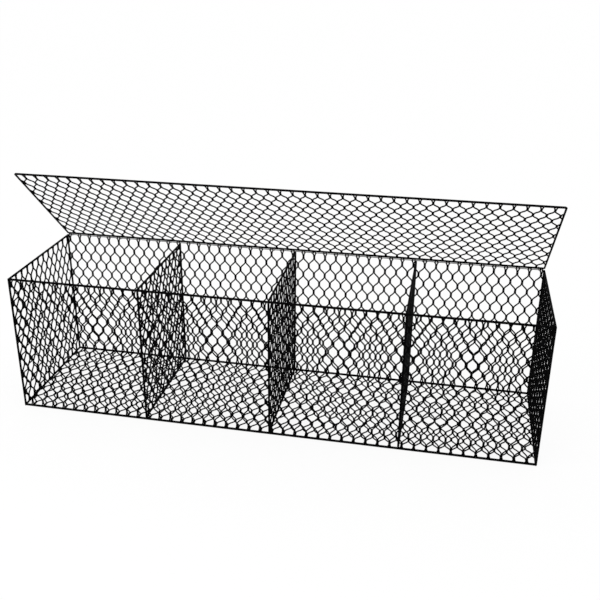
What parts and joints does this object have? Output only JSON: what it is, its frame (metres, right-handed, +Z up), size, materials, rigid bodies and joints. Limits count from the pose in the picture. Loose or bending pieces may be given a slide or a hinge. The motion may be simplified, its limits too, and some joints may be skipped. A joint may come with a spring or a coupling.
{
  "type": "woven-wire gabion basket with raised lid",
  "caption": "Long empty gabion basket of double-twist hexagonal wire mesh, split into cells by diaphragms, with edge wires and a mesh lid hinged along the back rim.",
  "frame": {"origin": "underside of the front bottom edge wire, at the middle of the basket's length", "axes": "+X along the basket to the right end, +Y from the front to the back, +Z up"},
  "size_m": [4.008, 1.0585, 1.8546],
  "materials": {
    "mesh_wire": "black polymer coating on steel wire, dull sheen",
    "edge_wire": "black polymer coating on heavier steel wire, dull sheen",
    "ring_wire": "dark coated steel rings"
  },
  "bodies": {
    "basket": {"base_mesh_1": "mesh_wire", "base_mesh_2": "mesh_wire", "base_mesh_3": "mesh_wire", "base_mesh_4": "mesh_wire", "front_mesh_1": "mesh_wire", "front_mesh_2": "mesh_wire", "front_mesh_3": "mesh_wire", "front_mesh_4": "mesh_wire", "back_mesh_1": "mesh_wire", "back_mesh_2": "mesh_wire", "back_mesh_3": "mesh_wire", "back_mesh_4": "mesh_wire", "left_end_panel": "mesh_wire", "right_end_panel": "mesh_wire", "diaphragm_1": "mesh_wire", "diaphragm_2": "mesh_wire", "diaphragm_3": "mesh_wire", "front_top_wire": "edge_wire", "front_bottom_wire": "edge_wire", "back_top_wire": "edge_wire", "back_bottom_wire": "edge_wire", "lid_rings": "ring_wire"},
    "lid": {"lid_mesh_1": "mesh_wire", "lid_mesh_2": "mesh_wire", "lid_mesh_3": "mesh_wire", "lid_mesh_4": "mesh_wire", "lid_hinge_wire": "edge_wire", "lid_front_wire": "edge_wire", "lid_left_wire": "edge_wire", "lid_right_wire": "edge_wire"}
  },
  "joints": [
    {"name": "lid_hinge", "type": "hinge", "parent": "basket", "child": "lid", "pos_m": [0, 1.045, 1.123], "axis": [-1, 0, 0], "range_deg": [-44, 226]}
  ]
}
